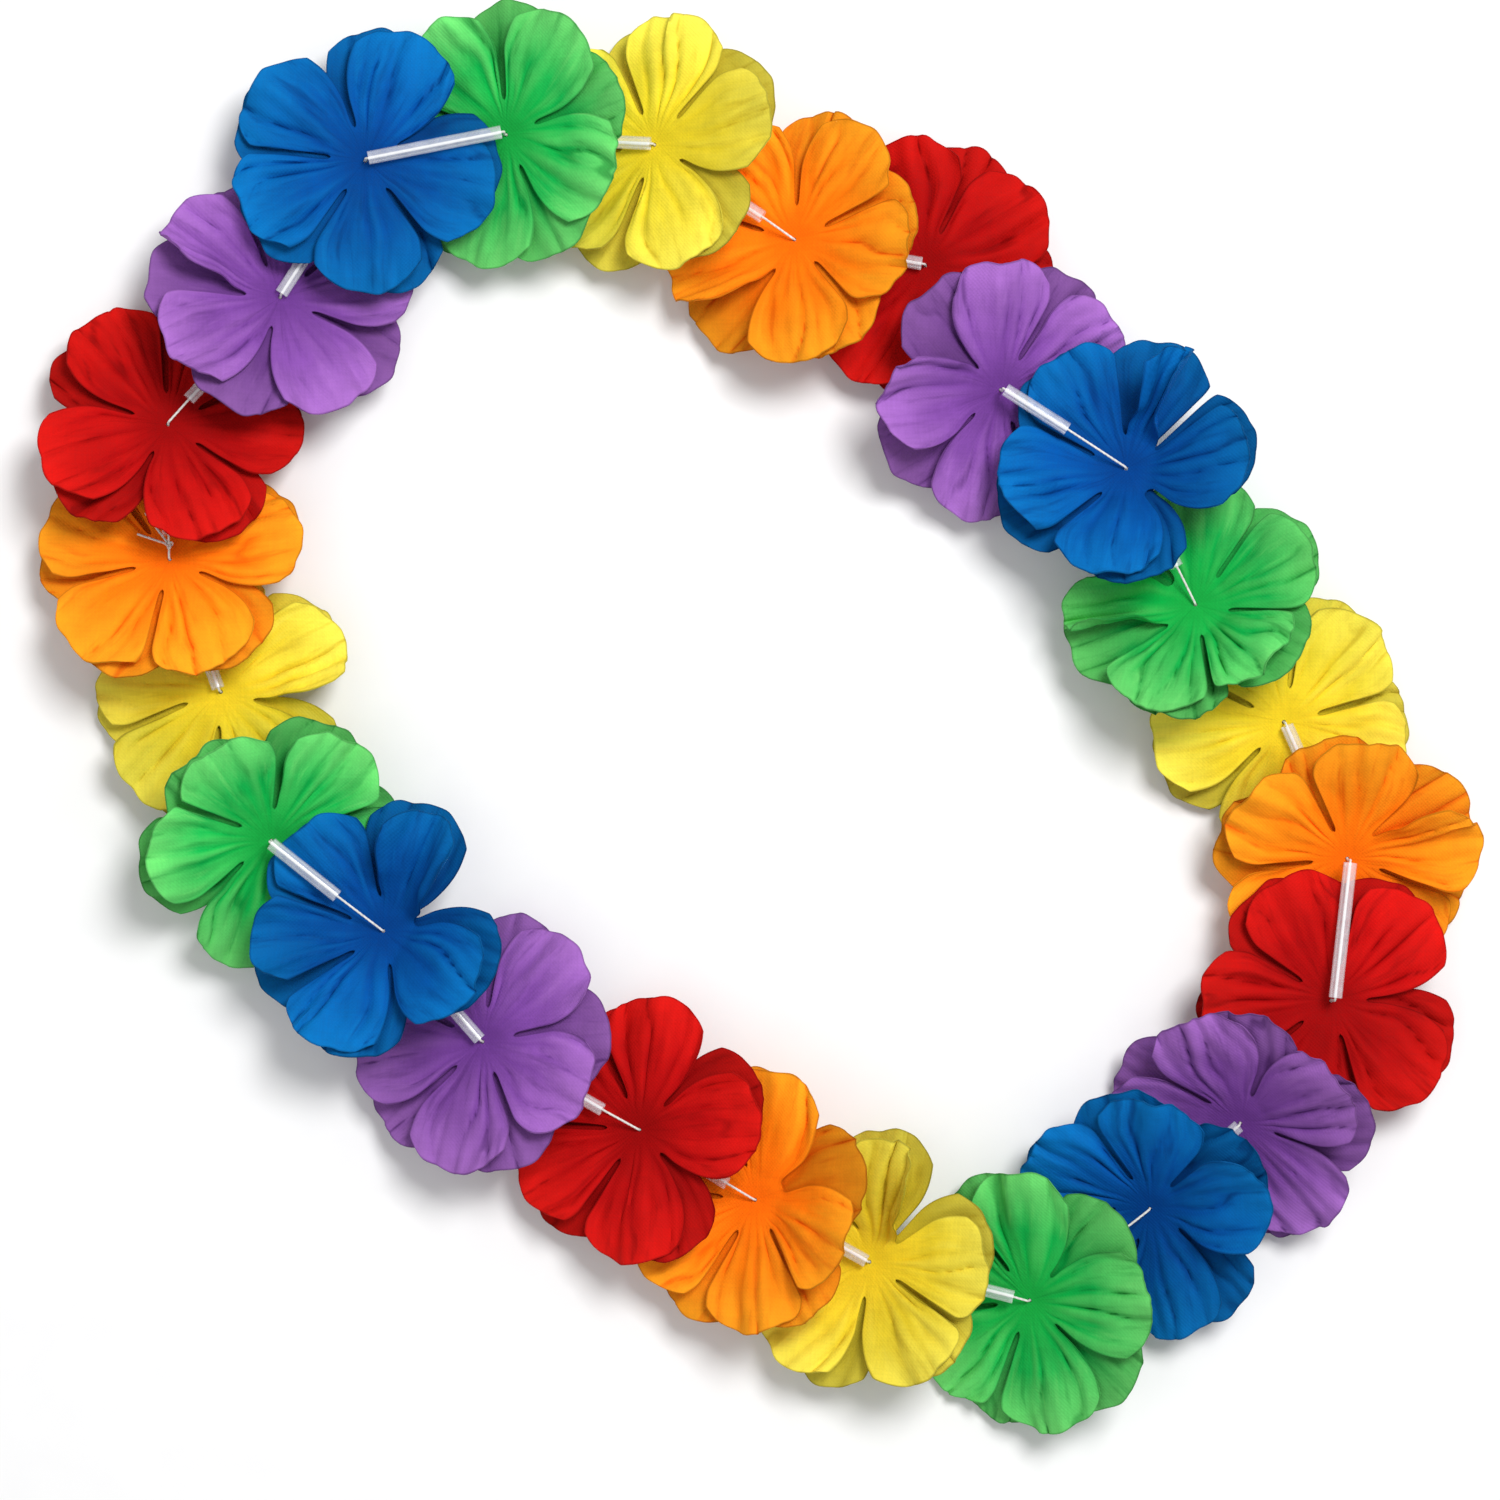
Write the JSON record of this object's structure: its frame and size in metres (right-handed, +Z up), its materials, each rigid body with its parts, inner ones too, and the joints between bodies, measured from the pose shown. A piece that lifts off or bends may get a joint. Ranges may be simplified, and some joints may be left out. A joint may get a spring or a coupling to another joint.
{
  "type": "artificial flower lei",
  "caption": "Closed garland of cloth flowers in six colours, strung on a thread with clear straw spacers between them, lying in a ring.",
  "frame": {"origin": "middle of the outline of the lei, on the surface it lies on", "axes": "+Z up from the surface the lei lies on, through the ring; +X and +Y in that surface"},
  "size_m": [0.4064, 0.404, 0.0469],
  "materials": {
    "cloth_blue": "matte woven cloth with pressed pleats",
    "cloth_green": "matte woven cloth with pressed pleats",
    "cloth_yellow": "matte woven cloth with pressed pleats",
    "cloth_orange": "matte woven cloth with pressed pleats",
    "cloth_red": "matte woven cloth with pressed pleats",
    "cloth_purple": "matte woven cloth with pressed pleats",
    "clear_plastic": "clear, slightly milky",
    "white_thread": "twisted"
  },
  "bodies": {
    "root": {"bloom_01_blue": "cloth_blue", "bloom_02_green": "cloth_green", "bloom_03_yellow": "cloth_yellow", "bloom_04_orange": "cloth_orange", "bloom_05_red": "cloth_red", "bloom_06_purple": "cloth_purple", "bloom_07_blue": "cloth_blue", "bloom_08_green": "cloth_green", "bloom_09_yellow": "cloth_yellow", "bloom_10_orange": "cloth_orange", "bloom_11_red": "cloth_red", "bloom_12_purple": "cloth_purple", "bloom_13_blue": "cloth_blue", "bloom_14_green": "cloth_green", "bloom_15_yellow": "cloth_yellow", "bloom_16_orange": "cloth_orange", "bloom_17_red": "cloth_red", "bloom_18_purple": "cloth_purple", "bloom_19_blue": "cloth_blue", "bloom_20_green": "cloth_green", "bloom_21_yellow": "cloth_yellow", "bloom_22_orange": "cloth_orange", "bloom_23_red": "cloth_red", "bloom_24_purple": "cloth_purple", "straw_01": "clear_plastic", "straw_02": "clear_plastic", "straw_03": "clear_plastic", "straw_04": "clear_plastic", "straw_05": "clear_plastic", "straw_06": "clear_plastic", "straw_07": "clear_plastic", "straw_08": "clear_plastic", "straw_09": "clear_plastic", "straw_10": "clear_plastic", "straw_11": "clear_plastic", "straw_12": "clear_plastic", "straw_13": "clear_plastic", "straw_14": "clear_plastic", "straw_15": "clear_plastic", "straw_16": "clear_plastic", "straw_17": "clear_plastic", "straw_18": "clear_plastic", "straw_19": "clear_plastic", "straw_20": "clear_plastic", "straw_21": "clear_plastic", "straw_22": "clear_plastic", "straw_23": "clear_plastic", "straw_24": "clear_plastic", "thread": "white_thread"}
  },
  "joints": []
}
